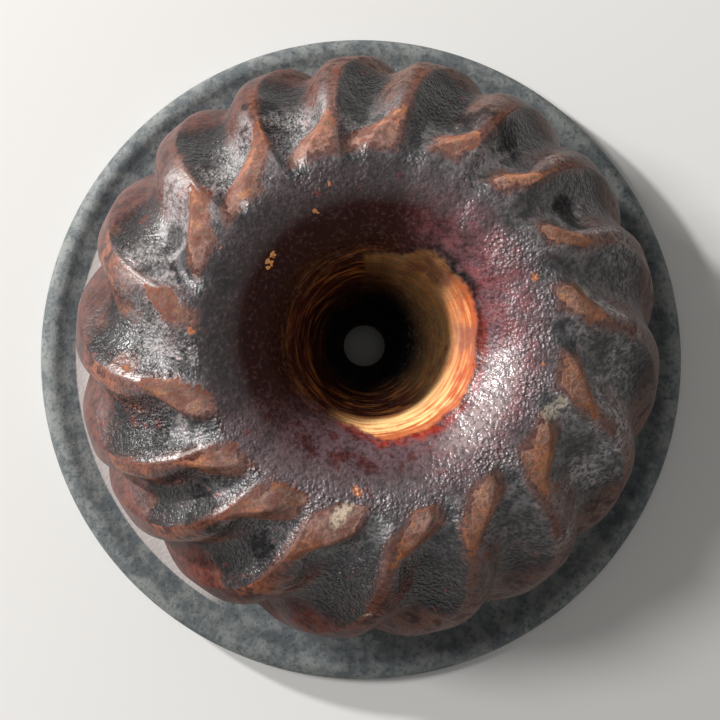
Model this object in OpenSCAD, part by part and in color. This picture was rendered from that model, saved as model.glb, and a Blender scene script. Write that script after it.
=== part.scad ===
// Kugelhopf mould: one thrown and glazed earthenware piece, standing on its rim.
// A ring-shaped bowl with slanting finger-scooped flutes, a funnel-mouthed chimney
// in its middle and a rolled rim. The origin is the middle of the rim's resting face.

/* [Overall] */
// Outside diameter of the rolled rim
rim_d = 250; // [236:1:270]
// Height from the rim's resting face to the top of the crown
height = 110; // [100:1:125]
// Thickness of the thrown wall
wall = 6.5; // [5:0.5:8]

/* [Body] */
// Radius of the circle on which the crown is highest
crown_r = 60; // [56:1:64]
// Radius of the body at its belly
belly_r = 105; // [100:1:110]
// Height of the belly's widest line
belly_z = 52; // [44:1:58]
// How far the body turns in below the belly, in degrees of its section
neck_turn = 38; // [32:1:42]

/* [Flutes] */
// Number of flutes round the body
flutes = 17; // [14:1:19]
// Depth of the scoops at the shoulder, outside
flute_depth = 7.4; // [5:0.2:9]
// Depth of the scoops at the shoulder, on the cake side
cake_flute_depth = 5; // [3:0.5:6]
// How far a ridge runs round between the belly and the shoulder, in degrees
flute_slant = 10; // [4:0.5:14]
// Direction of the first ridge at the belly
flute_start = -9; // [-20:1:20]
// Width of the flat inner end of a ridge by the crown, in degrees
ridge_end_width = 13.5; // [8:0.5:16]
// Direction of the side on which the scoops are shallowest
shallow_side = 25; // [0:5:60]

/* [Chimney] */
// Height of the chimney's open lower end above the resting face
chimney_end_z = 14; // [10:1:45]
// Radius of the chimney's bore at its lower end
chimney_end_r = 7.5; // [7:0.5:12]
// Radius of the bore where the mouth's funnel runs into it
throat_r = 26.5; // [24:0.5:28]
// Depth of that place below the crown
throat_drop = 20; // [18:0.5:22]
// Thickness of the chimney's wall
chimney_wall = 5.5; // [4:0.5:7]
// Lean of the hand-pulled chimney towards +Y, in degrees
chimney_lean = 2.4; // [0:0.2:4]

/* [Rim] */
// Radius of the rolled bead at the rim's edge
bead_r = 5.5; // [4.5:0.5:7]
// Thickness of the flat part of the rim inside the bead
flange_h = 10; // [8:0.5:11]
// How much wider the opening is at the resting face than at the neck
opening_flare = 5.7; // [3:0.5:7]
// Height of the slope that runs from the rim up to the neck
foot_h = 9; // [6:0.5:11]
// Depth of the shallow groove inside the bead
groove_depth = 1.2; // [0.6:0.1:2]
// Width of that groove
groove_w = 11; // [8:0.5:13]

/* [Hidden] */
$fn = 96;

rim_r = rim_d / 2;
past = 2;

// Handwork: how far each ridge lies off its even place at the belly, what it adds to the
// slant, and the width of its inner end against the usual one, in degrees
ridge_shift = [3, 4, 3, 2, 0, -3, -6, -7, -5, -3, -2, -7, -7, -3, -2, 0, 1];
ridge_slant = [1, -1, -2, -5, -3, -3, -2, -1, 3, 5, 3, 4, 2, 1, 0, -2, 1];
ridge_spare = [-4, -5, -4, -2, 4, 2, 9, 6, -5, -2, -2, 2, 2, 2, 2, 4, -1];
narrowest_scoop = 9;

// Section angles between which a ridge slants, and how much of the slant goes on above them
slant_from = 20;
slant_to = 72;
slant_after = 0.3;
slant_bow = 0.08;
// Section angles between which a ridge's flat end widens, and then narrows on the crown
end_widens = [68, 88];
end_narrows = [128, 98];
// Section angles between which the scoops fade out on the crown, and from the neck up
fade_crown = [96, 62];
fade_neck = [2, 6];
// What the scoops lose of their depth at the belly, and how uneven they are round the body
belly_loss = 0.12;
belly_uneven = 0.2;
shoulder_uneven = 0.06;
// Section angles between which the scoops' dishes turn into grooves between rounded lobes
groove_turns = [38, 12];

// Columns of a skin in one flute: shares across the ridge, then shares across the scoop
outer_columns = [[0, 0.5], [0, 0.08, 0.17, 0.28, 0.4, 0.52, 0.64, 0.76, 0.87, 0.95]];
// The cake side is softer, and has fewer
cake_columns = [[0, 0.5], [0, 0.16, 0.36, 0.56, 0.76, 0.91]];

// Section angles: 90 is the crown, 0 the belly, and over 90 the funnel's side
outer_turns = [141, 129, 117, 106, 97, 91, 85, 78, 70, 62, 53, 43, 32, 20, 8, -6, -21, -neck_turn];
cake_turns = [150, 130, 110, 92, 80, 66, 50, 34, 17, -2, -21, -neck_turn];

function smooth(t) = t <= 0 ? 0 : t >= 1 ? 1 : t * t * (3 - 2 * t);
function ease(from, to, t) = smooth((t - from) / (to - from));

// Half-axes of the section's ellipses for a skin that lies `inset` under the outer one
function side_a(inset) = belly_r - crown_r - inset;
function side_b(inset) = height - belly_z - inset;
function mouth_a(inset) = crown_r - throat_r - inset;
function mouth_b(inset) = throat_drop + 4 - inset;

// A point of the thrown section at a section angle, as [radius, height]
function section(turn, inset) =
    turn > 90
        ? [crown_r + mouth_a(inset) * cos(turn), height - inset - mouth_b(inset) * (1 - sin(turn))]
        : [crown_r + side_a(inset) * cos(turn), belly_z + side_b(inset) * sin(turn)];

// Outward direction across the section there, for the flutes' depth
function across(turn, inset) =
    let (n = turn > 90
            ? [cos(turn) / mouth_a(inset), sin(turn) / mouth_b(inset)]
            : [cos(turn) / side_a(inset), sin(turn) / side_b(inset)])
    n / norm(n);

// How far along its slant a ridge is: 0 at the belly's shoulder, 1 below the crown
function slant_share(turn) =
    let (t = (turn - slant_from) / (slant_to - slant_from))
    t > 1 ? 1 + slant_after * (t - 1) : t > 0 ? t + slant_bow * sin(180 * t) : t;

// Direction of a ridge's crest, counted on past the last flute
function crest(k, turn) =
    let (i = k % flutes, own = i % len(ridge_shift))
    flute_start + k * 360 / flutes + ridge_shift[own]
        + (flute_slant + ridge_slant[own]) * slant_share(turn);

// A ridge's two edges: it is rounded off at the belly, sharp above, flat by the crown
function half_top(turn) = 0.6 + 2.2 * ease(42, 12, turn);
function ridge_left(k, turn) = crest(k, turn) - half_top(turn);
function ridge_right(k, turn) =
    let (usual = ridge_end_width + ridge_spare[k % len(ridge_spare)],
         most = ridge_left(k + 1, turn) - crest(k, turn) - half_top(turn) - narrowest_scoop)
    crest(k, turn) + half_top(turn)
        + min(usual, most) * ease(end_widens[0], end_widens[1], turn)
            * ease(end_narrows[0], end_narrows[1], turn);

// Directions round the axis and places across the scoop of one flute's columns
function flute_columns(k, turn, columns) =
    let (left = ridge_left(k, turn), right = ridge_right(k, turn), next = ridge_left(k + 1, turn))
    concat([for (t = columns[0]) [left + (right - left) * t, 0]],
           [for (t = columns[1]) [right + (next - right) * t, t]]);

// Share of the full depth at a section angle and a direction round the axis
function depth_share(turn, angle) =
    let (away = cos(angle - shallow_side))
    ease(fade_crown[0], fade_crown[1], turn) * ease(fade_neck[0] - neck_turn, fade_neck[1], turn)
        * (1 - shoulder_uneven * away
            - ease(60, 20, turn) * (belly_loss + belly_uneven * away));

// Depth across a scoop: a dish above, a narrow groove between the lobes below. The dish
// falls off gently from the ridge on its left, more so lower down, and steeply on its right.
dish_left = [0.16, 0.42];
dish_right = 0.09;
function dish(t, turn) =
    let (left = dish_left[0] + (dish_left[1] - dish_left[0]) * ease(72, 45, turn))
    sin(180 * t) * smooth(t / left) * smooth((1 - t) / dish_right);
function groove(t) = 1 - abs(cos(180 * t));
function scoop(t, turn) =
    let (low = ease(groove_turns[0], groove_turns[1], turn))
    dish(t, turn) * (1 - low) + groove(t) * low;

function ring(turn, inset, depth, columns) =
    let (p = section(turn, inset), n = across(turn, inset))
    [for (k = [0 : flutes - 1]) for (c = flute_columns(k, turn, columns))
        let (q = p - n * depth * depth_share(turn, c[0]) * scoop(c[1], turn))
        [q[0] * cos(c[0]), q[0] * sin(c[0]), q[1]]];

// A plain ring that closes a skin above or below its sections
function plain_ring(r, z, turn, columns) =
    [for (k = [0 : flutes - 1]) for (c = flute_columns(k, turn, columns))
        [r * cos(c[0]), r * sin(c[0]), z]];

// A closed solid through rings with equal numbers of points, the top one first
module loft(rings) {
    n = len(rings[0]);
    last = len(rings) - 1;
    points = [for (one = rings) each one];
    walls = [for (i = [0 : last - 1]) for (j = [0 : n - 1])
        let (a = i * n + j, b = i * n + (j + 1) % n, c = b + n, d = a + n)
        each [[a, b, d], [b, c, d]]];
    top = [for (j = [0 : n - 1]) n - 1 - j];
    bottom = [for (j = [0 : n - 1]) last * n + j];
    polyhedron(points = points, faces = concat([top], walls, [bottom]));
}

// How far in and down a skin's closing ring lies from its last one in the chimney's mouth
closing = [8, 5.5];

// Outer skin of the body, closed inside the chimney's mouth and inside the rim
module outer_skin() {
    mouth = section(outer_turns[0], 0);
    loft(concat(
        [plain_ring(mouth[0] - closing[0], mouth[1] - closing[1], outer_turns[0], outer_columns)],
        [for (turn = outer_turns) ring(turn, 0, flute_depth, outer_columns)],
        [plain_ring(section(-neck_turn, 0)[0], flange_h / 2, -neck_turn, outer_columns)]));
}

// The opening at the resting face, and how high above it the flare begins
opening_r = section(-neck_turn, wall)[0] + opening_flare;
flare_h = section(-neck_turn, wall)[1];

// The ring-shaped space that the dough fills, open through the rim
module cake_space() {
    mouth = section(cake_turns[0], wall);
    loft(concat(
        [plain_ring(mouth[0] - closing[0], mouth[1] - closing[1], cake_turns[0], cake_columns)],
        [for (turn = cake_turns) ring(turn, wall, cake_flute_depth, cake_columns)],
        [plain_ring(opening_r + opening_flare * past / flare_h, -past, -neck_turn,
                    cake_columns)]));
}

// Radius of the chimney's bore at a height: a trumpet that narrows downwards
throat_z = height - throat_drop;
function bore_r(z) =
    let (t = (z - chimney_end_z) / (throat_z - chimney_end_z))
    chimney_end_r + (throat_r - chimney_end_r) * pow(max(t, 0), bore_bow);

bore_steps = 8;
bore_bow = 1.1;
// How the mouth's funnel opens above the bore
mouth_h = 16;
mouth_flare = 0.78;
bore_line = [for (i = [0 : bore_steps])
    let (z = chimney_end_z + (throat_z - chimney_end_z) * i / bore_steps)
    [bore_r(z), z]];

module leaning() {
    translate([0, 0, throat_z]) rotate([chimney_lean, 0, 0]) translate([0, 0, -throat_z]) children();
}

// The bore, run on past the chimney's end and up through the mouth's funnel
module chimney_bore() {
    leaning() rotate_extrude()
        polygon(concat(
            [[0, chimney_end_z - 2 * past], [chimney_end_r, chimney_end_z - 2 * past]],
            bore_line,
            [[throat_r + mouth_flare * mouth_h, throat_z + mouth_h], [0, throat_z + mouth_h]]));
}

// The chimney's body, as thick as its wall round the bore, wider where it joins the crown
chimney_root = 10;
module chimney_body() {
    leaning() rotate_extrude()
        polygon(concat(
            [[0, chimney_end_z]],
            [for (p = bore_line) [p[0] + chimney_wall, p[1]]],
            [[throat_r + chimney_wall + chimney_root, height - wall / 2], [0, height - wall / 2]]));
}

// Rolled rim: a bead, a shallow groove and the slope up to the neck
rim_overlap = 12;
module rim() {
    neck_r = section(-neck_turn, 0)[0];
    bead_x = rim_r - bead_r;
    groove_x = bead_x - bead_r - groove_w / 2 + 1;
    groove_r = (groove_w * groove_w / 4 + groove_depth * groove_depth) / (2 * groove_depth);
    rotate_extrude()
        difference() {
            union() {
                polygon([[opening_r - rim_overlap, -past], [bead_x, -past], [bead_x, flange_h],
                         [neck_r + foot_h - 1, flange_h], [neck_r - 2, flange_h + foot_h],
                         [opening_r - rim_overlap, flange_h + foot_h]]);
                translate([bead_x, bead_r - 0.2]) circle(bead_r);
            }
            translate([groove_x, flange_h - groove_depth + groove_r]) circle(groove_r);
            translate([0, -3 * past]) square([rim_r + past, 3 * past]);
        }
}

module mould() {
    color("#4a2a24")
        difference() {
            union() {
                outer_skin();
                rim();
            }
            difference() {
                cake_space();
                chimney_body();
            }
            chimney_bore();
        }
}

mould();
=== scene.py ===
"""Old glazed earthenware kugelhopf mould, standing on its rim and seen from above."""
import math

import bpy
import numpy as np
from mathutils import Matrix, Vector, noise


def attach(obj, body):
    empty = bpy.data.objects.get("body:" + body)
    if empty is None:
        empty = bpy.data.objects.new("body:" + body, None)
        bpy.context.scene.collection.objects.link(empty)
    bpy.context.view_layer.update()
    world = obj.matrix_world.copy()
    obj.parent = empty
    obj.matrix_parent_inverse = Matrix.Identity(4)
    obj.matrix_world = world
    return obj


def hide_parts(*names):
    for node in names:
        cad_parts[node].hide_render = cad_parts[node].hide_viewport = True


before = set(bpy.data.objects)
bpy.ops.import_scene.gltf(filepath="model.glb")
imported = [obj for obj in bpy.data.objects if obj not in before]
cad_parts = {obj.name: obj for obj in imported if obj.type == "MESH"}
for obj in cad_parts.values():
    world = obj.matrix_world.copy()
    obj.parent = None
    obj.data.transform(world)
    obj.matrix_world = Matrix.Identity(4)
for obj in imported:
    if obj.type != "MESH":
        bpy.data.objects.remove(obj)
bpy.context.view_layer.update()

MM = 0.001

# Sizes of the mould in millimetres and degrees, as in the part, its rim a hair inside it
RIM_R = 124.95
HEIGHT = 110.0
WALL = 6.5
CROWN_R = 60.0
BELLY_R = 105.0
BELLY_Z = 52.0
NECK_TURN = 38.0
FLUTES = 17
FLUTE_DEPTH = 7.4
CAKE_FLUTE_DEPTH = 5.0
FLUTE_START = -9.0
FLUTE_SLANT = 10.0
SHALLOW_SIDE = 25.0
CHIMNEY_END_Z = 14.0
CHIMNEY_END_R = 7.5
THROAT_R = 26.5
THROAT_DROP = 20.0
FUNNEL_BELOW_THROAT = 4.0
CHIMNEY_WALL = 5.5
CHIMNEY_LEAN = 2.4
BEAD_R = 5.5
OPENING_FLARE = 5.7
BORE_BOW = 1.1
MOUTH_FLARE = 0.75
MOUTH_TURN = 137
NARROWEST_SCOOP = 9.0
FOOT_R = 1.5
# Height of the middle of the chimney's rounded end over CHIMNEY_END_Z
CHIMNEY_END_TOP = 2.0
# The section turn at which a ridge begins to take its slant, and over how many degrees
SLANT_FROM = 20
SLANT_OVER = 52

# Handwork: how far each ridge is off its even place at the belly, what it adds to the mean
# slant, the width of its worn inner end, and the section turns where its wear begins and ends
RIDGE_SHIFT = (3, 4, 3, 2, 0, -3, -6, -7, -5, -3, -2, -7, -7, -3, -2, 0, 1)
RIDGE_SLANT = (1, -1, -2, -5, -3, -3, -2, -1, 3, 5, 3, 4, 2, 1, 0, -2, 1)
RIDGE_WIDTH = (9, 8, 9, 11, 17, 15, 22, 19, 8, 11, 11, 15, 15, 15, 15, 17, 12)
WEAR_OUTER = (50, 51, 38, 34, 35, 40, 34, 48, 47, 47, 38, 44, 47, 48, 49, 47, 53)
WEAR_INNER = (89, 84, 86, 85, 88, 88, 90, 90, 93, 94, 93, 95, 99, 92, 92, 90, 88)
# How far each worn patch reaches left of its crest, the share of the end's width that its left
# edge slants by, and the section turn at which it has its full width
WEAR_LEFT = (2.5, 2, 2, 1.5, 1.5, 1, 1.5, 1.5, 1.5, 2.5, 2, 1.5, 2, 2, 2, 1.5, 2.5)
WEAR_TOE = (0.5, 0.5, 0.5, 0.4, 0.1, 0.05, 0.4, 0.45, 0.6, 0.55, 0.35, 0.3, 0.55, 0.5, 0.4, 0.25, 0.3)
WEAR_WIDE = (79, 81, 79, 76, 86, 87, 88, 88, 85, 88, 86, 86, 87, 85, 84, 79, 81)
# Worn spots beside the crests: direction, section turn and radius in millimetres
WORN_SPOTS = ((186, 53, 3.6), (188, 57, 3.4), (201, 92, 2.2), (254, 74, 2.6),
              (320, 62, 3.0), (297, 60, 2.4))
# Chips in the glaze, pale places that are partly scuffs and partly painted sheen, places mixed to
# near-black glaze, and stains, given in the same way
CHIPS = ((142, 121, 1.2), (145, 122, 1.3), (147, 123, 1.1), (151, 94, 1.0), (115.5, 116, 1.2),
         (106.5, 104, 0.9), (110.5, 105, 0.8), (179, 90, 1.4), (-10, 97, 1.1), (20, 96, 1.4),
         (264, 103, 1.6), (262.5, 106, 1.2), (152, 40, 2.4), (199, 45, 2.6), (202, 60, 2.0))
PALE_SCUFFS = ((144, 56, 6), (160, 57, 7), (134, 67, 6), (112, 60, 6), (166, 70, 6), (205, 77, 5),
               (58, 75, 7), (73, 74, 6), (96, 75, 5), (3, 80, 6), (337, 80, 7), (270, 86, 5),
               (186, 68, 5), (168, 75, 5))
SOOTY_PLACES = ((153, 67, 6), (159, 79, 5), (189, 84, 5), (225, 61, 8), (205, 60, 5), (213, 72, 4),
                (243, 60, 6), (120, 63, 5), (116, 52, 6), (57, 56, 8), (66, 56, 6), (33, 60, 6))
STAINS = ((258, 86, 2.2), (259, 90, 2.8), (261, 95, 2.2), (269, 43, 1.3), (-24, 86, 3.2),
          (-20, 83, 2.6), (12, 71, 2.0))

# Small unevenness of the clay: reach and size of its lumps in millimetres, above this turn
UNEVEN_LUMPS = ((0.55, 17.0), (0.35, 7.0))
UNEVEN_ABOVE = -30
# In the bore it works along this direction, outwards and upwards
BORE_NORMAL = (-0.97, 0.2)
# A degree of section turn is about this many millimetres of skin
TURN_MM = 0.9
# The middle of the pocket that a finger wiped out in each scoop, and the ridge it leaves
STROKE_TURN = 38
STROKE_RIDGE = 3
# What a field says where there is no worn patch or spot near
NO_WEAR = -99.0
NO_SPOT = -12.0

# Zones of the section, which the glaze tells apart
ZONE_FOOT = 0.0
ZONE_RIM = 1.0
ZONE_BODY = 2.0
ZONE_MOUTH = 3.0
ZONE_BORE = 4.0
ZONE_CHIMNEY = 5.0
ZONE_CAKE = 6.0

# Resolution of the mesh
BODY_ROWS = 95
MOUTH_ROWS = 14
BORE_ROWS = 22
CHIMNEY_ROWS = 9
CAKE_MOUTH_ROWS = 8
CAKE_ROWS = 33
RIDGE_COLUMNS = 7
SCOOP_COLUMNS = 23
PER_FLUTE = RIDGE_COLUMNS + SCOOP_COLUMNS
COLUMNS = FLUTES * PER_FLUTE


def smooth(t):
    t = np.clip(t, 0.0, 1.0)
    return t * t * (3 - 2 * t)


def ease(start, end, t):
    return smooth((t - start) / (end - start))


def section(turn, inset):
    """Point of the thrown section at a section angle in degrees, and its outward normal."""
    a = math.radians(turn)
    if turn > 90:
        half_a = CROWN_R - THROAT_R - inset
        half_b = THROAT_DROP + FUNNEL_BELOW_THROAT - inset
        point = (CROWN_R + half_a * math.cos(a), HEIGHT - inset - half_b * (1 - math.sin(a)))
    else:
        half_a = BELLY_R - CROWN_R - inset
        half_b = HEIGHT - BELLY_Z - inset
        point = (CROWN_R + half_a * math.cos(a), BELLY_Z + half_b * math.sin(a))
    normal = Vector((math.cos(a) / half_a, math.sin(a) / half_b)).normalized()
    return point, (normal.x, normal.y)


def crests(turn):
    """Directions in degrees of the ridges' crests at a section turn."""
    k = np.arange(FLUTES)
    t = (turn - SLANT_FROM) / SLANT_OVER
    if t > 1:
        t = 1 + 0.3 * (t - 1)
    elif t > 0:
        t = t + 0.08 * math.sin(math.pi * t)
    return (FLUTE_START + k * 360 / FLUTES + np.array(RIDGE_SHIFT)
            + (FLUTE_SLANT + np.array(RIDGE_SLANT)) * t)


def layout(turn):
    """Directions of a row's columns, with each one's flute and place across its scoop."""
    crest = crests(turn)
    top = 0.6 + 2.2 * float(ease(42, 12, turn))
    spread = float(ease(68, 88, turn) * ease(128, 98, turn))
    left = crest - top
    after = np.roll(left, -1)
    after[-1] += 360
    widest = after - crest - top - NARROWEST_SCOOP
    wide = np.minimum(np.array(RIDGE_WIDTH), widest)
    right = crest + top + wide * spread
    on_ridge = np.arange(RIDGE_COLUMNS) / RIDGE_COLUMNS
    on_scoop = np.arange(SCOOP_COLUMNS) / SCOOP_COLUMNS
    ridge = left[:, None] + (right - left)[:, None] * on_ridge
    scoop = right[:, None] + (after - right)[:, None] * on_scoop
    across = np.concatenate([np.zeros(RIDGE_COLUMNS), on_scoop])
    return np.concatenate([ridge, scoop], axis=1).reshape(-1), np.tile(across, FLUTES)


def depth_share(turn, angle):
    """How deep the scoops are at a section turn, deeper on the side away from SHALLOW_SIDE."""
    along = float(ease(96, 62, turn) * ease(-NECK_TURN + 2, 6, turn))
    away = np.cos(np.radians(angle - SHALLOW_SIDE))
    at_belly = float(ease(60, 20, turn))
    return along * (1 - 0.06 * away - at_belly * (0.12 + 0.2 * away))


def scoop_form(across, turn):
    """Depth across a scoop from 0 to 1: a dish above, a narrow groove between lobes below."""
    groove = 1 - np.abs(np.cos(np.pi * across))
    reach = 0.16 + 0.26 * float(ease(72, 45, turn))
    dish = np.sin(np.pi * across) * smooth(across / reach) * smooth((1 - across) / 0.09)
    low = float(ease(38, 12, turn))
    return dish * (1 - low) + groove * low


def bore_r(z):
    throat_z = HEIGHT - THROAT_DROP
    t = max((z - CHIMNEY_END_Z) / (throat_z - CHIMNEY_END_Z), 0)
    return CHIMNEY_END_R + (THROAT_R - CHIMNEY_END_R) * t ** BORE_BOW


def arc(cx, cz, r, start, end, steps):
    return [(cx + r * math.cos(math.radians(start + (end - start) * i / steps)),
             cz + r * math.sin(math.radians(start + (end - start) * i / steps)))
            for i in range(steps + 1)]


def line(p, q, steps):
    return [(p[0] + (q[0] - p[0]) * i / steps, p[1] + (q[1] - p[1]) * i / steps)
            for i in range(1, steps)]


def curve(points, steps):
    """Catmull-Rom through the inner points, the first and last only steer it."""
    out = []
    for i in range(1, len(points) - 2):
        p0, p1, p2, p3 = [Vector(p) for p in points[i - 1:i + 3]]
        for k in range(steps):
            t = k / steps
            p = 0.5 * ((2 * p1) + (p2 - p0) * t + (2 * p0 - 5 * p1 + 4 * p2 - p3) * t * t
                       + (3 * p1 - p0 - 3 * p2 + p3) * t ** 3)
            out.append((p.x, p.y))
    out.append(tuple(points[-2]))
    return out


def row(point, turn, zone, fine=False, normal=(0, 0), depth=0.0, leans=0.0):
    return {"r": point[0], "z": point[1], "n": normal, "turn": turn, "depth": depth,
            "leans": leans, "zone": zone, "fine": fine}


def rows():
    """The closed section from the opening over the rim, the body and the bore and back."""
    out = []
    bead_x = RIM_R - BEAD_R
    low = -NECK_TURN
    neck, _ = section(low, 0)
    opening_r = section(low, WALL)[0][0] + OPENING_FLARE
    foot = arc(opening_r + FOOT_R, FOOT_R, FOOT_R, -180, -90, 3)
    foot += line((opening_r + FOOT_R, 0), (bead_x - 2, 0), 4)
    bead = arc(bead_x, BEAD_R, BEAD_R, -100, 118, 16)
    hollow = curve([(bead_x - 1, 10.8), (bead_x - 3.4, 10.1), (110, 9.5), (105, 10.0),
                    (100.5, 12.5), (neck[0] + 0.4, neck[1] + 1.2),
                    section(low + 6, 0)[0]], 4)[1:-1]
    out += [row(p, low, ZONE_FOOT) for p in foot]
    out += [row(p, low, ZONE_RIM) for p in bead + hollow]
    # Body from the neck over the crown, down the funnel and the bore
    for i in range(BODY_ROWS + 1):
        turn = low + (90 - low) * i / BODY_ROWS
        p, n = section(turn, 0)
        out.append(row(p, turn, ZONE_BODY, True, n, FLUTE_DEPTH))
    for i in range(1, MOUTH_ROWS + 1):
        turn = 90 + (MOUTH_TURN - 90) * i / MOUTH_ROWS
        p, n = section(turn, 0)
        out.append(row(p, turn, ZONE_MOUTH, True, n, FLUTE_DEPTH if turn < 97 else 0))
    start = section(MOUTH_TURN, 0)[0]
    for i in range(1, BORE_ROWS + 1):
        t = i / BORE_ROWS
        z = start[1] + (CHIMNEY_END_Z + 1.5 - start[1]) * t
        flare = start[0] - (start[1] - z) * MOUTH_FLARE
        r = max(bore_r(z), flare) if t < 0.3 else bore_r(z)
        out.append(row((r, z), MOUTH_TURN, ZONE_BORE, True, leans=1.0))
    # Chimney's end and outside, the cake side, and back to the opening
    mid = CHIMNEY_END_R + CHIMNEY_WALL / 2
    end = arc(mid, CHIMNEY_END_Z + CHIMNEY_END_TOP, CHIMNEY_WALL / 2, -180, -360, 6)[1:-1]
    out += [row(p, MOUTH_TURN, ZONE_CHIMNEY, leans=1.0) for p in end]
    cake_top, _ = section(MOUTH_TURN, WALL)
    for i in range(1, CHIMNEY_ROWS):
        z = CHIMNEY_END_Z + CHIMNEY_END_TOP
        z += (cake_top[1] - 6 - CHIMNEY_END_Z) * i / CHIMNEY_ROWS
        out.append(row((bore_r(z) + CHIMNEY_WALL, z), MOUTH_TURN, ZONE_CHIMNEY, leans=1.0))
    for i in range(CAKE_MOUTH_ROWS):
        turn = MOUTH_TURN - (MOUTH_TURN - 90) * i / CAKE_MOUTH_ROWS
        p, n = section(turn, WALL)
        out.append(row(p, turn, ZONE_CAKE, False, n, CAKE_FLUTE_DEPTH if turn < 97 else 0))
    for i in range(CAKE_ROWS + 1):
        turn = 90 - (90 - low) * i / CAKE_ROWS
        p, n = section(turn, WALL)
        out.append(row(p, turn, ZONE_CAKE, False, n, CAKE_FLUTE_DEPTH))
    last = out[-1]
    down = line((last["r"], last["z"]), (opening_r, FOOT_R), 4)
    out += [row(p, low, ZONE_CAKE) for p in down]
    return out


def lumps(point, size):
    return noise.noise(Vector(point) / size)


def wear_field(turn, angle, radius):
    """Millimetres inside the edge of the nearest ridge's worn patch, negative outside."""
    crest = crests(turn)
    best = np.full(angle.shape, NO_WEAR)
    mm = radius * math.pi / 180
    for k in range(FLUTES):
        off = (angle - crest[k] + 180) % 360 - 180
        inner = WEAR_INNER[k]
        slim = 0.5 + 0.5 * float(ease(52, 76, turn))
        near = (-WEAR_LEFT[k] * slim
                + RIDGE_WIDTH[k] * WEAR_TOE[k] * float(ease(inner - 16, inner, turn)))
        far = 1.6 * slim + (RIDGE_WIDTH[k] - 1) * float(ease(63, WEAR_WIDE[k], turn))
        field = np.minimum((off - near) * mm, (far - off) * mm)
        field = np.minimum(field, (turn - WEAR_OUTER[k]) * TURN_MM)
        field = np.minimum(field, (inner - turn) * TURN_MM)
        best = np.maximum(best, field)
    return best


def spot_field(spots, angle, r, z):
    """Millimetres inside the edge of the nearest spot on the thrown skin, negative outside."""
    best = np.full(angle.shape, NO_SPOT)
    a = np.radians(angle)
    for spot_angle, spot_turn, radius in spots:
        (spot_r, spot_z), _ = section(spot_turn, 0)
        b = math.radians(spot_angle)
        off = np.sqrt((r * np.cos(a) - spot_r * math.cos(b)) ** 2
                      + (r * np.sin(a) - spot_r * math.sin(b)) ** 2 + (z - spot_z) ** 2)
        best = np.maximum(best, radius - off)
    return best


def stroke_field(turn, across, r):
    """Millimetres from the middle of the pocket that a finger wiped out in each scoop."""
    scoop_width = r * math.radians(360 / FLUTES - STROKE_RIDGE)
    return np.hypot((across - 0.5) * scoop_width, (turn - STROKE_TURN) * TURN_MM)


def uneven_by(place, form):
    """Millimetres by which the clay is uneven at a place, always inwards."""
    uneven = sum(reach * (lumps(place, size) - 1) * 0.5 for reach, size in UNEVEN_LUMPS)
    return uneven * (0.4 + 0.6 * form)


def place_row(spec):
    """Places of one row's vertices in millimetres, with the values that the glaze reads."""
    turn, zone, section_r, section_z = spec["turn"], spec["zone"], spec["r"], spec["z"]
    angle, across = layout(turn)
    if not spec["fine"]:
        angle, across = angle[::2], across[::2]
    form = scoop_form(across, turn)
    dent = spec["depth"] * depth_share(turn, angle) * form
    r = section_r - spec["n"][0] * dent
    z = section_z - spec["n"][1] * dent
    throat_z = HEIGHT - THROAT_DROP
    shift = spec["leans"] * math.tan(math.radians(CHIMNEY_LEAN)) * (throat_z - z)
    a = np.radians(angle)
    places = np.stack([r * np.cos(a), r * np.sin(a) + np.maximum(shift, 0), z + 0 * a], axis=-1)
    if spec["fine"] and turn > UNEVEN_ABOVE:
        normal = BORE_NORMAL if spec["leans"] else spec["n"]
        for i, place in enumerate(places):
            uneven = uneven_by(place, form[i])
            places[i, 0] += math.cos(a[i]) * normal[0] * uneven
            places[i, 1] += math.sin(a[i]) * normal[0] * uneven
            places[i, 2] += normal[1] * uneven
    on_body = zone in (ZONE_BODY, ZONE_MOUTH)
    wear = np.full(angle.shape, NO_WEAR)
    if on_body and turn < 100:
        wear = np.maximum(wear_field(turn, angle, max(section_r, 1)),
                          spot_field(WORN_SPOTS, angle, section_r, section_z))
    values = {"scoop": form * min(spec["depth"], 1.0) * float(ease(97, 85, turn)),
              "stroke": stroke_field(turn, across, section_r), "across": across,
              "turn": np.full(angle.shape, float(turn)), "wear": wear}
    for name, spots in (("chips", CHIPS), ("stain", STAINS), ("scuff", PALE_SCUFFS),
                        ("sooty", SOOTY_PLACES)):
        values[name] = np.full(angle.shape, NO_SPOT)
        if on_body:
            values[name] = spot_field(spots, angle, section_r, section_z)
    values["zone"] = np.full(angle.shape, zone)
    return places, values


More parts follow.
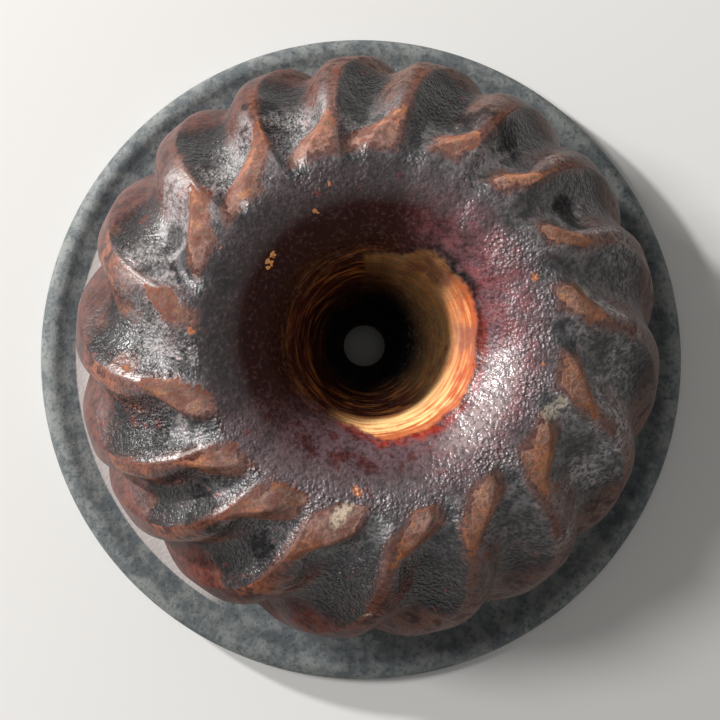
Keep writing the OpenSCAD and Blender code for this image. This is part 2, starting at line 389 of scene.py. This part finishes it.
def body_mesh():
    """One closed skin: fine columns where the photo looks, every second one elsewhere."""
    places, values, starts, counts = [], [], [], []
    specs = rows()
    total = 0
    for spec in specs:
        at, value = place_row(spec)
        places.append(at)
        values.append(value)
        starts.append(total)
        counts.append(len(at))
        total += len(at)
    faces = []
    half = COLUMNS // 2
    for i in range(len(specs)):
        j = (i + 1) % len(specs)
        a, b, m, n = starts[i], starts[j], counts[i], counts[j]
        if m == n:
            for k in range(m):
                q = (k + 1) % m
                faces.append((a + k, a + q, b + q, b + k))
        elif m < n:
            for k in range(half):
                q = (k + 1) % half
                faces.append((a + k, b + 2 * k + 1, b + 2 * k))
                faces.append((a + k, a + q, b + 2 * k + 1))
                faces.append((a + q, b + (2 * k + 2) % COLUMNS, b + 2 * k + 1))
        else:
            for k in range(half):
                q = (k + 1) % half
                faces.append((b + k, a + 2 * k, a + 2 * k + 1))
                faces.append((b + k, a + 2 * k + 1, b + q))
                faces.append((b + q, a + 2 * k + 1, a + (2 * k + 2) % COLUMNS))
    mesh = bpy.data.meshes.new("mould_skin")
    mesh.from_pydata((np.concatenate(places) * MM).tolist(), [], faces)
    mesh.polygons.foreach_set("use_smooth", [True] * len(mesh.polygons))
    for name in values[0]:
        layer = mesh.attributes.new(name, "FLOAT", "POINT")
        layer.data.foreach_set("value", np.concatenate([v[name] for v in values]))
    mesh.update()
    return mesh


def rgb(red, green, blue):
    """A screen colour as the linear one that a shader takes."""
    return tuple(((v / 255 + 0.055) / 1.055) ** 2.4 if v > 10 else v / 255 / 12.92
                 for v in (red, green, blue)) + (1.0,)


class Graph:
    """A few short words for building a material's nodes."""

    def __init__(self, name):
        self.mat = bpy.data.materials.new(name)
        self.mat.use_nodes = True
        self.nodes = self.mat.node_tree.nodes
        self.links = self.mat.node_tree.links
        self.bsdf = self.nodes["Principled BSDF"]
        coords = self.nodes.new("ShaderNodeTexCoord")
        self.place = coords.outputs["Object"]

    def put(self, socket, value):
        if isinstance(value, bpy.types.NodeSocket):
            self.links.new(value, socket)
        else:
            socket.default_value = value

    def math(self, op, a, b=0.0, c=0.0):
        node = self.nodes.new("ShaderNodeMath")
        node.operation = op
        for socket, value in zip(node.inputs, (a, b, c)):
            self.put(socket, value)
        return node.outputs[0]

    def times(self, first, *others):
        for other in others:
            first = self.math("MULTIPLY", first, other)
        return first

    def most(self, first, *others):
        for other in others:
            first = self.math("MAXIMUM", first, other)
        return first

    def add(self, a, b):
        return self.math("ADD", a, b)

    def less(self, a, b):
        return self.math("SUBTRACT", a, b)

    def scaled(self, value, factor, base):
        """A value times a factor, on top of a base."""
        return self.math("MULTIPLY_ADD", value, factor, base)

    def step(self, value, low, high, to_low=0.0, to_high=1.0):
        """Smooth step of a value from one number to another between low and high."""
        node = self.nodes.new("ShaderNodeMapRange")
        node.interpolation_type = "SMOOTHSTEP"
        for socket, item in zip(node.inputs, (value, low, high, to_low, to_high)):
            self.put(socket, item)
        return node.outputs[0]

    def band(self, value, rise, full, ebb, gone):
        """1 between full and ebb, 0 before rise and after gone."""
        return self.times(self.step(value, rise, full), self.step(value, gone, ebb))

    def mix(self, share, a, b):
        node = self.nodes.new("ShaderNodeMix")
        node.data_type = "RGBA"
        self.put(node.inputs[0], share)
        self.put(node.inputs[6], a)
        self.put(node.inputs[7], b)
        return node.outputs[2]

    def value(self, name):
        node = self.nodes.new("ShaderNodeAttribute")
        node.attribute_name = name
        return node.outputs["Fac"]

    def noise(self, size, detail, rough=0.55, shift=0.0):
        """Noise from 0 to 1 whose blobs are about this many millimetres across."""
        mapping = self.nodes.new("ShaderNodeMapping")
        self.put(mapping.inputs["Vector"], self.place)
        mapping.inputs["Location"].default_value = (shift, shift * 0.7, shift * 1.3)
        return self.noise_at(mapping.outputs[0], size, detail, rough)

    def noise_at(self, place, size, detail, rough=0.5):
        node = self.nodes.new("ShaderNodeTexNoise")
        self.put(node.inputs["Vector"], place)
        node.inputs["Scale"].default_value = BLOBS_PER_METRE / size
        node.inputs["Detail"].default_value = detail
        node.inputs["Roughness"].default_value = rough
        return node.outputs["Fac"]

    def ring_noise(self, far, x, y, size):
        """Noise in rings round the axis, this many millimetres apart."""
        node = self.nodes.new("ShaderNodeCombineXYZ")
        self.put(node.inputs[0], far)
        self.put(node.inputs[1], self.times(x, RING_DRIFT))
        self.put(node.inputs[2], self.times(y, RING_DRIFT))
        return self.noise_at(node.outputs[0], size, 2.0)

    def cells(self, size):
        node = self.nodes.new("ShaderNodeTexVoronoi")
        self.put(node.inputs["Vector"], self.place)
        node.inputs["Scale"].default_value = CELLS_PER_METRE / size
        return node.outputs["Distance"]

    def axes(self):
        node = self.nodes.new("ShaderNodeSeparateXYZ")
        self.put(node.inputs[0], self.place)
        return node.outputs

    def towards(self, azimuth):
        """Cosine of the angle between a point's direction and an azimuth in degrees."""
        a = math.radians(azimuth)
        return self.scaled(self.unit_x, math.cos(a), self.times(self.unit_y, math.sin(a)))

    def bump(self, height, distance):
        node = self.nodes.new("ShaderNodeBump")
        node.inputs["Distance"].default_value = distance * MM
        self.put(node.inputs["Height"], height)
        return node.outputs[0]


# Scales of the textures for a size of one millimetre, a noise's blob being two of its cells
BLOBS_PER_METRE = 500
CELLS_PER_METRE = 1000
# How much the throwing rings change along their way round
RING_DRIFT = 0.05

BLACK_GLAZE = rgb(27, 25, 26)
PLUM_GLAZE = rgb(94, 72, 76)
LIT_PLUM = rgb(140, 80, 84)
RED_GLAZE = rgb(98, 48, 38)
GREY_BROWN = rgb(122, 94, 84)
DARK_RED = rgb(76, 31, 27)
RUBBED = rgb(109, 62, 45)
RED_FLECK = rgb(132, 33, 25)
# The two dust greys serve real dust and painted sheen alike
DUST = rgb(149, 147, 149)
PALE_DUST = rgb(178, 172, 171)
BARE_CLAY = rgb(172, 138, 129)
ORANGE_CLAY = rgb(181, 109, 69)
CREAM = rgb(239, 223, 196)
MOUTH_RED = rgb(49, 17, 10)
OCHRE = rgb(246, 201, 136)
BUFF = rgb(112, 85, 54)
LIT_TAN = rgb(214, 147, 96)
CHIP_GOLD = rgb(219, 152, 89)
RUST = rgb(174, 71, 29)
GOLD_LINE = rgb(156, 98, 49)
BAND_RED = rgb(152, 42, 16)
RIM_GREY = rgb(98, 103, 105)
RIM_PALE = rgb(129, 132, 130)
RIM_DARK = rgb(49, 54, 60)
NECK_PINK = rgb(196, 187, 184)
BORE_BLACK = rgb(11, 8, 7)

# Directions in degrees towards which parts of the glaze differ, read from the photo
BLACK_CROWN_SIDE = 140
HAZE_SIDE = 138
DEEP_GROOVE_SIDE = 158
GOLD_LINES_SIDE = 165
LIT_LOBES_SIDE = 172
DIM_CLAY_SIDE = 180
RED_LOBES_SIDE = 190
PINK_NECK_SIDE = 197
SCRAPED_SIDE = 205
FUNNEL_SOOT_SIDE = 22
BORE_EDGE_SIDE = 10
BUFF_BORE_SIDE = 6
BLUSH_SIDE = 0
SETTLED_DUST_SIDE = -2
LIT_CLAY_SIDE = -10
WIDE_BORE_SIDE = -14
DUSTY_CROWN_SIDE = -25
PEEL_SIDE = -30
BLOOM_SIDE = -33
CRESCENT_SIDE = -40
RED_BAND_SIDE = -45
OCHRE_SIDE = -85


def fields(g):
    """What the colours and the gloss read: the skin's values, noises and masks."""
    g.turn, g.scoop, g.zone, g.wear = (g.value(n) for n in ("turn", "scoop", "zone", "wear"))
    x, y, g.z = g.axes()
    g.far = g.math("SQRT", g.scaled(x, x, g.times(y, y)))
    g.unit_x = g.math("DIVIDE", x, g.far)
    g.unit_y = g.math("DIVIDE", y, g.far)
    g.broad = g.noise(24, 0)
    g.medium = g.noise(7, 3, 0.66)
    g.specks = g.noise(2.6, 2, 0.66, 0.3)
    g.fine = g.noise(0.8, 1, 0.7)
    wiped = g.times(g.value("stroke"), MM)
    wiped_or_thrown = g.scaled(g.step(g.turn, 100, 101), g.less(g.far, wiped), wiped)
    g.lines = g.ring_noise(wiped_or_thrown, x, y, 0.3)
    # Painted highlight: pale colour round the highlight in the funnel
    g.bloom = g.times(g.step(g.towards(BLOOM_SIDE), 0.84, 0.98), g.step(g.turn, 102, 115),
                      g.step(g.turn, 132, 122), g.step(g.specks, 0.36, 0.56, 0.6, 1.0))
    # The lobes, with the flank of each ridge above them, and the wiped pocket of a scoop
    across = g.scaled(g.less(g.medium, 0.5), 0.3, g.value("across"))
    belly = g.step(g.scaled(g.medium, 26, g.turn), 48, 38)
    flank = g.times(g.step(across, 0.5, 0.34), g.step(g.turn, 68, 50))
    g.lobe = g.times(g.most(belly, flank), g.step(g.add(g.medium, g.broad), 0.75, 1.05, 0.6, 1.0))
    g.pocket = g.times(g.step(across, 0.3, 0.5), g.step(g.turn, 24, 34), g.step(g.turn, 78, 64))
    # Painted sheen: pale dust colour on the scoops' flanks that face the lamp
    g.haze = g.times(g.step(g.towards(HAZE_SIDE), 0.4, 0.95), g.step(g.turn, 44, 60),
                     g.step(g.turn, 90, 76), g.step(across, 0.75, 0.5),
                     g.step(g.specks, 0.38, 0.6, 0.25, 1.0))
    frayed = g.scaled(g.less(g.specks, 0.5), 14.0, g.times(g.less(g.medium, 0.5), 12.0))
    g.scuff = g.step(g.add(g.value("scuff"), frayed), -2.0, 4.0)
    g.sooty = g.step(g.less(g.value("sooty"), frayed), -2.0, 2.5)
    # Worn clay, its edge ragged and broken up on the steep part of a ridge
    ragged = g.scaled(g.less(g.specks, 0.55), 8.0, g.times(g.less(g.medium, 0.57), 13.0))
    ragged = g.scaled(g.less(g.fine, 0.5), 3.0, ragged)
    broken = g.times(g.step(g.turn, 80, 46), g.step(g.specks, 0.38, 0.6, 0.4, 4.0))
    g.worn_at = g.less(g.add(g.wear, ragged), broken)
    g.worn = g.step(g.worn_at, -0.4, 0.6, 0, 0.92)
    # Metres outside the edge of the bore's own glaze
    reach = g.scaled(g.less(g.medium, 0.5), 0.007, g.far)
    g.past_bore = g.less(reach, g.step(g.towards(WIDE_BORE_SIDE), 0.0, 0.38, 0.0292, 0.0348))
    g.in_bore = g.step(g.past_bore, 0.001, -0.0008)
    g.on_rim = g.times(g.step(g.zone, ZONE_RIM + 0.5, ZONE_RIM + 0.4),
                       g.step(g.far, 0.1005, 0.1025))


def scoop_colour(g):
    """Plum on the crown, black in the scoops."""
    crown = g.mix(g.step(g.scaled(g.medium, 0.5, g.broad), 0.4, 0.95), BLACK_GLAZE, PLUM_GLAZE)
    below = g.mix(g.step(g.medium, 0.42, 0.68), BLACK_GLAZE, DARK_RED)
    colour = g.mix(g.step(g.scaled(g.medium, -0.4, g.scoop), -0.25, 0.2), crown, below)
    black = g.step(g.scaled(g.broad, 0.6, g.scoop), 0.6, 1.0)
    depths = g.mix(g.step(g.medium, 0.5, 0.66, 0, 0.7), BLACK_GLAZE, PLUM_GLAZE)
    depths = g.mix(g.step(g.less(g.specks, g.broad), 0.02, 0.16, 0, 0.6), depths, DARK_RED)
    colour = g.mix(black, colour, depths)
    return g.mix(g.times(g.pocket, 0.8), colour, BLACK_GLAZE)


def lobe_colour(g):
    """Red or grey-brown, speckled and sooty, scraped to orange on one side."""
    # Red on one side and grey-brown on the other; the grey-brown is partly dust and partly painted
    # sheen
    redness = g.step(g.towards(RED_LOBES_SIDE), -0.3, 0.35)
    lobe = g.mix(redness, GREY_BROWN, RED_GLAZE)
    lobe = g.mix(g.step(g.specks, 0.44, 0.64, 0, 0.75), lobe, MOUTH_RED)
    lobe = g.mix(g.step(g.specks, 0.46, 0.32, 0, 0.5), lobe, RUBBED)
    lobe = g.mix(g.step(g.fine, 0.5, 0.68, 0, 0.6), lobe, BLACK_GLAZE)
    scraped = g.times(g.step(g.towards(SCRAPED_SIDE), 0.2, 0.8), g.step(g.turn, 26, 38),
                      g.step(g.turn, 62, 50))
    return g.mix(g.times(scraped, g.step(g.specks, 0.58, 0.42, 0, 0.38)), lobe, ORANGE_CLAY)


def thrown_glaze(g):
    """Body: scoops and lobes under haze, dust, soot and scuffs."""
    colour = g.mix(g.lobe, scoop_colour(g), lobe_colour(g))
    # Painted sheen where the flanks face the lamp
    colour = g.mix(g.times(g.haze, 0.36), colour, PALE_DUST)
    # Dust that lies in blotches on the side away from the light
    settled = g.times(g.step(g.towards(SETTLED_DUST_SIDE), 0.3, 0.85),
                      g.step(g.turn, 86, 72), g.step(g.turn, 26, 46),
                      g.step(g.add(g.medium, g.broad), 0.9, 1.12, 0.2, 0.95),
                      g.step(g.specks, 0.4, 0.6, 0.3, 1.0),
                      g.step(g.fine, 0.36, 0.6, 0.35, 1.0))
    colour = g.mix(settled, colour, PALE_DUST)
    # Painted shade: the crown is nearly black on the left
    left = g.times(g.step(g.towards(BLACK_CROWN_SIDE), -0.1, 0.7), g.step(g.turn, 82, 92, 0, 0.5))
    colour = g.mix(left, colour, BLACK_GLAZE)
    # Grey at the heads of the scoops, partly dust and partly painted sheen
    heads = g.times(g.band(g.turn, 60, 74, 86, 98), g.step(g.specks, 0.4, 0.6, 0.05, 0.34))
    colour = g.mix(heads, colour, DUST)
    # Grey on the crown on the side away from the light, partly dust and partly painted sheen
    dusty = g.times(g.band(g.turn, 78, 92, 104, 124),
                    g.step(g.towards(DUSTY_CROWN_SIDE), -0.7, 0.7),
                    g.step(g.medium, 0.3, 0.62, 0.05, 0.26))
    colour = g.mix(dusty, colour, DUST)
    flecks = g.times(g.step(g.specks, 0.6, 0.68), g.step(g.medium, 0.48, 0.62), 0.5)
    colour = g.mix(flecks, colour, RED_FLECK)
    # Places mixed to near-black glaze and dulled
    colour = g.mix(g.times(g.sooty, 0.85), colour, BLACK_GLAZE)
    # Pale places, partly scuffs and partly painted sheen
    return g.mix(g.times(g.scuff, g.step(g.fine, 0.38, 0.6, 0.2, 0.45)), colour, PALE_DUST)


def funnel_glaze(g, colour):
    """Funnel: near-black red on the shaded side, partly the glaze's own red and partly painted shade;
    plum with red flecks and some painted light on the lit one.
    """
    plum = g.mix(g.step(g.specks, 0.5, 0.64, 0, 0.8), PLUM_GLAZE, DARK_RED)
    # Painted shade: the lip goes near-black red on the side that faces away from the lamp
    lip = g.mix(g.step(g.towards(BLACK_CROWN_SIDE), -0.45, 0.5), plum, MOUTH_RED)
    colour = g.mix(g.step(g.scaled(g.medium, 14, g.turn), 108, 130, 0, 0.95), colour, lip)
    # Painted light: the funnel's plum lighter on the side that faces the lamp
    blush = g.times(g.step(g.turn, 92, 108), g.step(g.towards(BLUSH_SIDE), 0.1, 0.9),
                    g.step(g.specks, 0.4, 0.6, 0.2, 0.7))
    colour = g.mix(blush, colour, LIT_PLUM)
    # Painted highlight in the funnel
    colour = g.mix(g.times(g.bloom, 0.5), colour, NECK_PINK)
    # Golden throwing lines begin above the bore on the shaded side
    lined = g.times(g.step(g.past_bore, 0.0035, 0.0005, 0, 0.6),
                    g.step(g.towards(GOLD_LINES_SIDE), -0.1, 0.5),
                    g.step(g.lines, 0.46, 0.62, 0.1, 0.75))
    colour = g.mix(lined, colour, GOLD_LINE)
    # Near-black above the bore on this side
    soot = g.times(g.step(g.past_bore, 0.0045, 0.0012),
                   g.step(g.towards(FUNNEL_SOOT_SIDE), 0.72, 0.9), g.step(g.specks, 0.36, 0.56))
    colour = g.mix(soot, colour, BLACK_GLAZE)
    # A thin deep red band beside the lit crescent
    band = g.times(g.step(g.past_bore, 0.0042, 0.0008), g.step(g.towards(RED_BAND_SIDE), 0.2, 0.8),
                   g.step(g.specks, 0.36, 0.56, 0.3, 0.9))
    return g.mix(band, colour, BAND_RED)


def crescent_colour(g):
    """Painted light: bright ochre where the lamp lights a crescent in the bore, rust-streaked along
    its outer side.
    """
    lit = g.mix(g.step(g.towards(OCHRE_SIDE), 0.3, 0.95), LIT_TAN, OCHRE)
    lit = g.mix(g.step(g.lines, 0.42, 0.64, 0, 0.6), lit, RUST)
    outer = g.scaled(g.medium, 0.012, g.scaled(g.lines, 0.006, g.far))
    lit = g.mix(g.step(outer, 0.0395, 0.0425, 0, 0.8), lit, RUST)
    end = g.scaled(g.medium, 1.0, g.towards(BORE_EDGE_SIDE))
    return g.mix(g.step(end, 1.36, 1.6, 0, 0.5), lit, GREY_BROWN)


def bore_glaze(g):
    """Bore: red-brown with golden throwing lines, buff on one side, painted shade going black below,
    and painted light in its lit crescent.
    """
    right = g.times(g.step(g.scaled(g.medium, 0.12, g.towards(BUFF_BORE_SIDE)), 0.02, 0.1),
                    g.step(g.unit_y, -1.0, -0.45))
    gold = g.mix(g.step(g.lines, 0.48, 0.64), MOUTH_RED, GOLD_LINE)
    gold = g.mix(g.step(g.medium, 0.45, 0.62, 0, 0.5), gold, DARK_RED)
    gold = g.mix(g.step(g.scaled(g.medium, 0.004, g.far), 0.0275, 0.031, 0, 0.75), gold, MOUTH_RED)
    pale = g.mix(g.step(g.lines, 0.4, 0.62, 0, 0.5), BUFF, GOLD_LINE)
    pale = g.mix(g.step(g.medium, 0.5, 0.66, 0, 0.6), pale, DARK_RED)
    colour = g.mix(right, gold, pale)
    # Painted shade: the bore goes black deeper down
    colour = g.mix(g.step(g.scaled(right, -0.012, g.z), 0.08, 0.034), colour, BORE_BLACK)
    # Painted light: the crescent that the lamp lights is painted bright
    crescent = g.times(g.step(g.towards(CRESCENT_SIDE), 0.1, 0.5), g.step(g.far, 0.026, 0.0285))
    return g.mix(crescent, colour, crescent_colour(g))


def clay(g):
    """Bare clay: orange along the crests, paler and pinker on the flat ends."""
    colour = g.mix(g.step(g.scaled(g.medium, 60, g.turn), 92, 118), ORANGE_CLAY, BARE_CLAY)
    edge = g.times(g.step(g.worn_at, 2.0, 0.3), g.step(g.medium, 0.5, 0.62, 0, 0.9))
    colour = g.mix(edge, colour, ORANGE_CLAY)
    dim = g.scaled(g.towards(DIM_CLAY_SIDE), 0.08, g.medium)
    colour = g.mix(g.step(dim, 0.46, 0.66, 0, 0.7), colour, RUBBED)
    colour = g.mix(g.step(g.specks, 0.46, 0.62, 0, 0.6), colour, RUBBED)
    colour = g.mix(g.step(g.specks, 0.44, 0.34, 0, 0.3), colour, CHIP_GOLD)
    colour = g.mix(g.step(g.towards(LIT_CLAY_SIDE), 0.2, 0.9, 0, 0.2), colour, LIT_TAN)
    colour = g.mix(g.step(g.fine, 0.45, 0.7, 0, 0.5), colour, DARK_RED)
    return g.mix(g.step(g.fine, 0.46, 0.3, 0, 0.2), colour, CREAM)


def rim_glaze(g):
    """Rim: blue-grey with paler blotches, darker in its groove with painted shade, and a painted
    pinkish highlight by the neck.
    """
    colour = g.mix(g.step(g.add(g.medium, g.specks), 0.84, 1.16), RIM_GREY, RIM_PALE)
    # The groove is a little darker all round, and darker still, as painted shade, on the side where
    # the bead shades it and on the far side
    side = g.towards(DEEP_GROOVE_SIDE)
    deep = g.most(g.step(side, 0.86, 0.99), g.step(side, 0.3, -0.3))
    groove = g.times(g.band(g.far, 0.1085, 0.1135, 0.1165, 0.1205), g.scaled(deep, 0.35, 0.15),
                     g.step(g.medium, 0.8, 0.35, 0.3, 0.9))
    colour = g.mix(groove, colour, RIM_DARK)
    colour = g.mix(g.step(g.fine, 0.5, 0.72, 0, 0.45), colour, RIM_DARK)
    # Painted highlight: pinkish glaze colour where the neck catches the lamp
    pink = g.times(g.step(g.far, 0.1112, 0.1106), g.step(g.towards(PINK_NECK_SIDE), 0.7, 0.8), 0.85)
    return g.mix(pink, colour, NECK_PINK)


def relief(g):
    """Height in millimetres: orange peel, tarry specks, wiped grain and throwing rings."""
    peel_side = g.times(g.step(g.towards(PEEL_SIDE), -0.45, 0.6),
                        g.step(g.turn, 76, 90, 0.9, 1.25), g.step(g.turn, 96, 112, 1.0, 0.3))
    strength = g.most(peel_side, g.step(g.scoop, 0.02, 0.3, 0, 1.2), 0.25)
    peel_at = g.times(g.band(g.turn, 26, 46, 124, 137), strength,
                      g.step(g.wear, 0.3, -0.6, 0.1, 1.0))
    in_patches = g.times(g.step(g.medium, 0.34, 0.62, 0.2, 1.15),
                         g.step(g.broad, 0.38, 0.54, 0.3, 1.1))
    peel_at = g.times(g.scaled(peel_at, in_patches, 0.05), g.scaled(g.bloom, -0.5, 1.0))
    peel = g.scaled(g.cells(1.2), 0.35, g.scaled(g.fine, 0.8, -0.53))
    above_neck = (ZONE_BODY - 0.3, ZONE_BODY - 0.1)
    height = g.times(peel, peel_at, g.step(g.zone, *above_neck))
    height = g.scaled(g.medium, 0.3, height)
    height = g.scaled(g.fine, 0.16, height)
    tarry = g.times(g.step(g.scoop, 0.05, 0.3, 0, 0.45), g.step(g.turn, 26, 44))
    height = g.scaled(g.specks, tarry, height)
    wiped = g.times(g.step(g.turn, 66, 52), g.step(g.zone, *above_neck, 0, 0.07))
    rings = g.most(g.step(g.zone, ZONE_BORE - 0.6, ZONE_BORE - 0.4, 0, 0.2),
                   g.step(g.turn, 108, 126, 0, 0.1), wiped)
    return g.scaled(g.lines, rings, height)


def mould_colour(g):
    colour = funnel_glaze(g, thrown_glaze(g))
    edge = g.times(g.band(g.past_bore, 0.0, 0.0006, 0.001, 0.0022),
                   g.step(g.towards(BORE_EDGE_SIDE), 0.3, 0.8, 0, 0.7))
    colour = g.mix(edge, colour, BLACK_GLAZE)
    colour = g.mix(g.in_bore, colour, bore_glaze(g))
    rubbed = g.times(g.step(g.scaled(g.specks, 6.0, g.wear), 0.6, 4.2, 0, 0.75),
                     g.step(g.turn, 26, 42))
    colour = g.mix(rubbed, colour, RUBBED)
    colour = g.mix(g.worn, colour, clay(g))
    ragged = g.times(g.less(g.fine, 0.5), 2.6)
    chip = g.step(g.add(g.value("chips"), ragged), -0.1, 0.2)
    chip_colour = g.mix(g.step(g.turn, 66, 80), DARK_RED, ORANGE_CLAY)
    colour = g.mix(chip, colour, g.mix(g.step(g.turn, 112, 118), chip_colour, CHIP_GOLD))
    stain = g.step(g.add(g.value("stain"), ragged), -0.8, 1.6, 0, 0.55)
    colour = g.mix(stain, colour, CREAM)
    # Soot in small dark grains outside the bore, and dust in pale ones over all of it
    soot = g.times(g.step(g.fine, 0.5, 0.34, 0, 0.5), g.step(g.in_bore, 1.0, 0.4))
    colour = g.mix(soot, colour, BLACK_GLAZE)
    colour = g.mix(g.step(g.fine, 0.5, 0.75, 0, 0.1), colour, DUST)
    colour = g.mix(g.on_rim, colour, rim_glaze(g))
    under = g.step(g.zone, ZONE_CHIMNEY - 0.6, ZONE_CHIMNEY - 0.4)
    return g.mix(under, colour, DARK_RED)


def mould_gloss(g):
    """Roughness and specular level: the glaze shiny, clay, lobes and rim duller."""
    # The lobes are dull, but less so where they face the light
    dull_lobe = g.times(g.lobe, g.step(g.towards(LIT_LOBES_SIDE), 0.3, 0.85, 1.0, 0.25))
    dull = g.most(g.worn, g.times(g.on_rim, 0.6), g.times(dull_lobe, 0.55))
    open_scoop = g.times(g.step(g.scoop, 0.1, 0.5), g.step(g.turn, 52, 62))
    rough = g.scaled(g.medium, 0.24, 0.26)
    for field, adds in ((open_scoop, 0.06), (g.haze, 0.1), (dull, 0.3), (g.in_bore, 0.2),
                        (g.step(g.turn, 92, 108), -0.06), (g.bloom, -0.16)):
        rough = g.scaled(field, adds, rough)
    inside = g.times(g.step(g.turn, 108, 128), g.step(g.towards(CRESCENT_SIDE), 0.96, 0.6), 1.4)
    inside = g.most(inside, g.step(g.turn, 124, 134, 0, 0.7))
    dull = g.most(g.most(inside, dull), g.times(g.sooty, 0.8))
    dull = g.scaled(dull_lobe, 0.4, dull)
    dull = g.scaled(g.in_bore, 0.6, dull)
    low = g.most(g.step(g.turn, 32, 62, 0.2, 1.0), g.times(g.lobe, 0.6))
    return rough, g.times(g.step(dull, 0.0, 1.0, 0.85, 0.15), low)


def mould_glaze():
    g = Graph("old_glaze")
    fields(g)
    rough, specular = mould_gloss(g)
    g.put(g.bsdf.inputs["Base Color"], mould_colour(g))
    g.put(g.bsdf.inputs["Roughness"], rough)
    g.put(g.bsdf.inputs["Specular IOR Level"], specular)
    g.put(g.bsdf.inputs["Normal"], g.bump(relief(g), 1.0))
    return g.mat


skin = bpy.data.objects.new("glazed_skin", body_mesh())
bpy.context.scene.collection.objects.link(skin)
skin.data.materials.append(mould_glaze())
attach(skin, "root")
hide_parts("mould")


FLOOR_HALF = 3.0
FLOOR_COLOUR = (0.8, 0.79, 0.77, 1)
FLOOR_ROUGHNESS = 0.9


def stage():
    """The pale floor that the mould stands on."""
    mesh = bpy.data.meshes.new("floor")
    half = FLOOR_HALF
    mesh.from_pydata([(-half, -half, 0), (half, -half, 0), (half, half, 0), (-half, half, 0)], [],
                     [(0, 1, 2, 3)])
    floor = bpy.data.objects.new("floor", mesh)
    bpy.context.scene.collection.objects.link(floor)
    mat = bpy.data.materials.new("pale_floor")
    mat.use_nodes = True
    bsdf = mat.node_tree.nodes["Principled BSDF"]
    bsdf.inputs["Base Color"].default_value = FLOOR_COLOUR
    bsdf.inputs["Roughness"].default_value = FLOOR_ROUGHNESS
    mesh.materials.append(mat)


ROOM_COLOUR = (1.0, 0.99, 0.97, 1)
ROOM_STRENGTH = 0.26
LAMP_FAR = 2.4
LAMP_AIM = (0, 0, 0.06)
# Lamps: name, azimuth and elevation in degrees, size in metres, power in watts and colour
LAMPS = (("key", 147, 18, 0.18, 71, (1.0, 0.985, 0.965)),
         ("window", 163, 50, 0.6, 27, (1, 1, 1)))


def area_light(name, place, size, power, colour):
    lamp = bpy.data.lights.new(name, "AREA")
    lamp.shape = "DISK"
    lamp.size = size
    lamp.energy = power
    lamp.color = colour
    obj = bpy.data.objects.new(name, lamp)
    obj.location = place
    obj.rotation_euler = (Vector(LAMP_AIM) - Vector(place)).to_track_quat("-Z", "Y").to_euler()
    bpy.context.scene.collection.objects.link(obj)


def lamp_place(azimuth, elevation):
    azimuth, elevation = math.radians(azimuth), math.radians(elevation)
    return (LAMP_FAR * math.cos(azimuth) * math.cos(elevation),
            LAMP_FAR * math.sin(azimuth) * math.cos(elevation),
            LAMP_FAR * math.sin(elevation))


def lights():
    world = bpy.data.worlds.new("room")
    world.use_nodes = True
    background = world.node_tree.nodes["Background"]
    background.inputs["Color"].default_value = ROOM_COLOUR
    background.inputs["Strength"].default_value = ROOM_STRENGTH
    bpy.context.scene.world = world
    for name, azimuth, elevation, size, power, colour in LAMPS:
        area_light(name, lamp_place(azimuth, elevation), size, power, colour)


CAMERA_AT = (-24.65, -43.87, 652.1)
CAMERA_AIM = (-1.0, -1.3, 0.0)
FOCAL_PX = 1661.0
PHOTO_PX = 720
SENSOR_WIDTH = 36


def camera():
    data = bpy.data.cameras.new("camera")
    data.sensor_width = SENSOR_WIDTH
    data.sensor_fit = "HORIZONTAL"
    obj = bpy.data.objects.new("camera", data)
    obj.location = [v * MM for v in CAMERA_AT]
    aim = Vector([v * MM for v in CAMERA_AIM]) - obj.location
    right = aim.cross(Vector((0, 1, 0))).normalized()
    up = right.cross(aim).normalized()
    turned = Matrix((right, up, -aim.normalized())).transposed()
    obj.rotation_euler = turned.to_euler()
    data.lens = data.sensor_width * FOCAL_PX / PHOTO_PX
    bpy.context.scene.collection.objects.link(obj)
    bpy.context.scene.camera = obj


stage()
lights()
camera()
bpy.context.scene.view_settings.view_transform = "Standard"
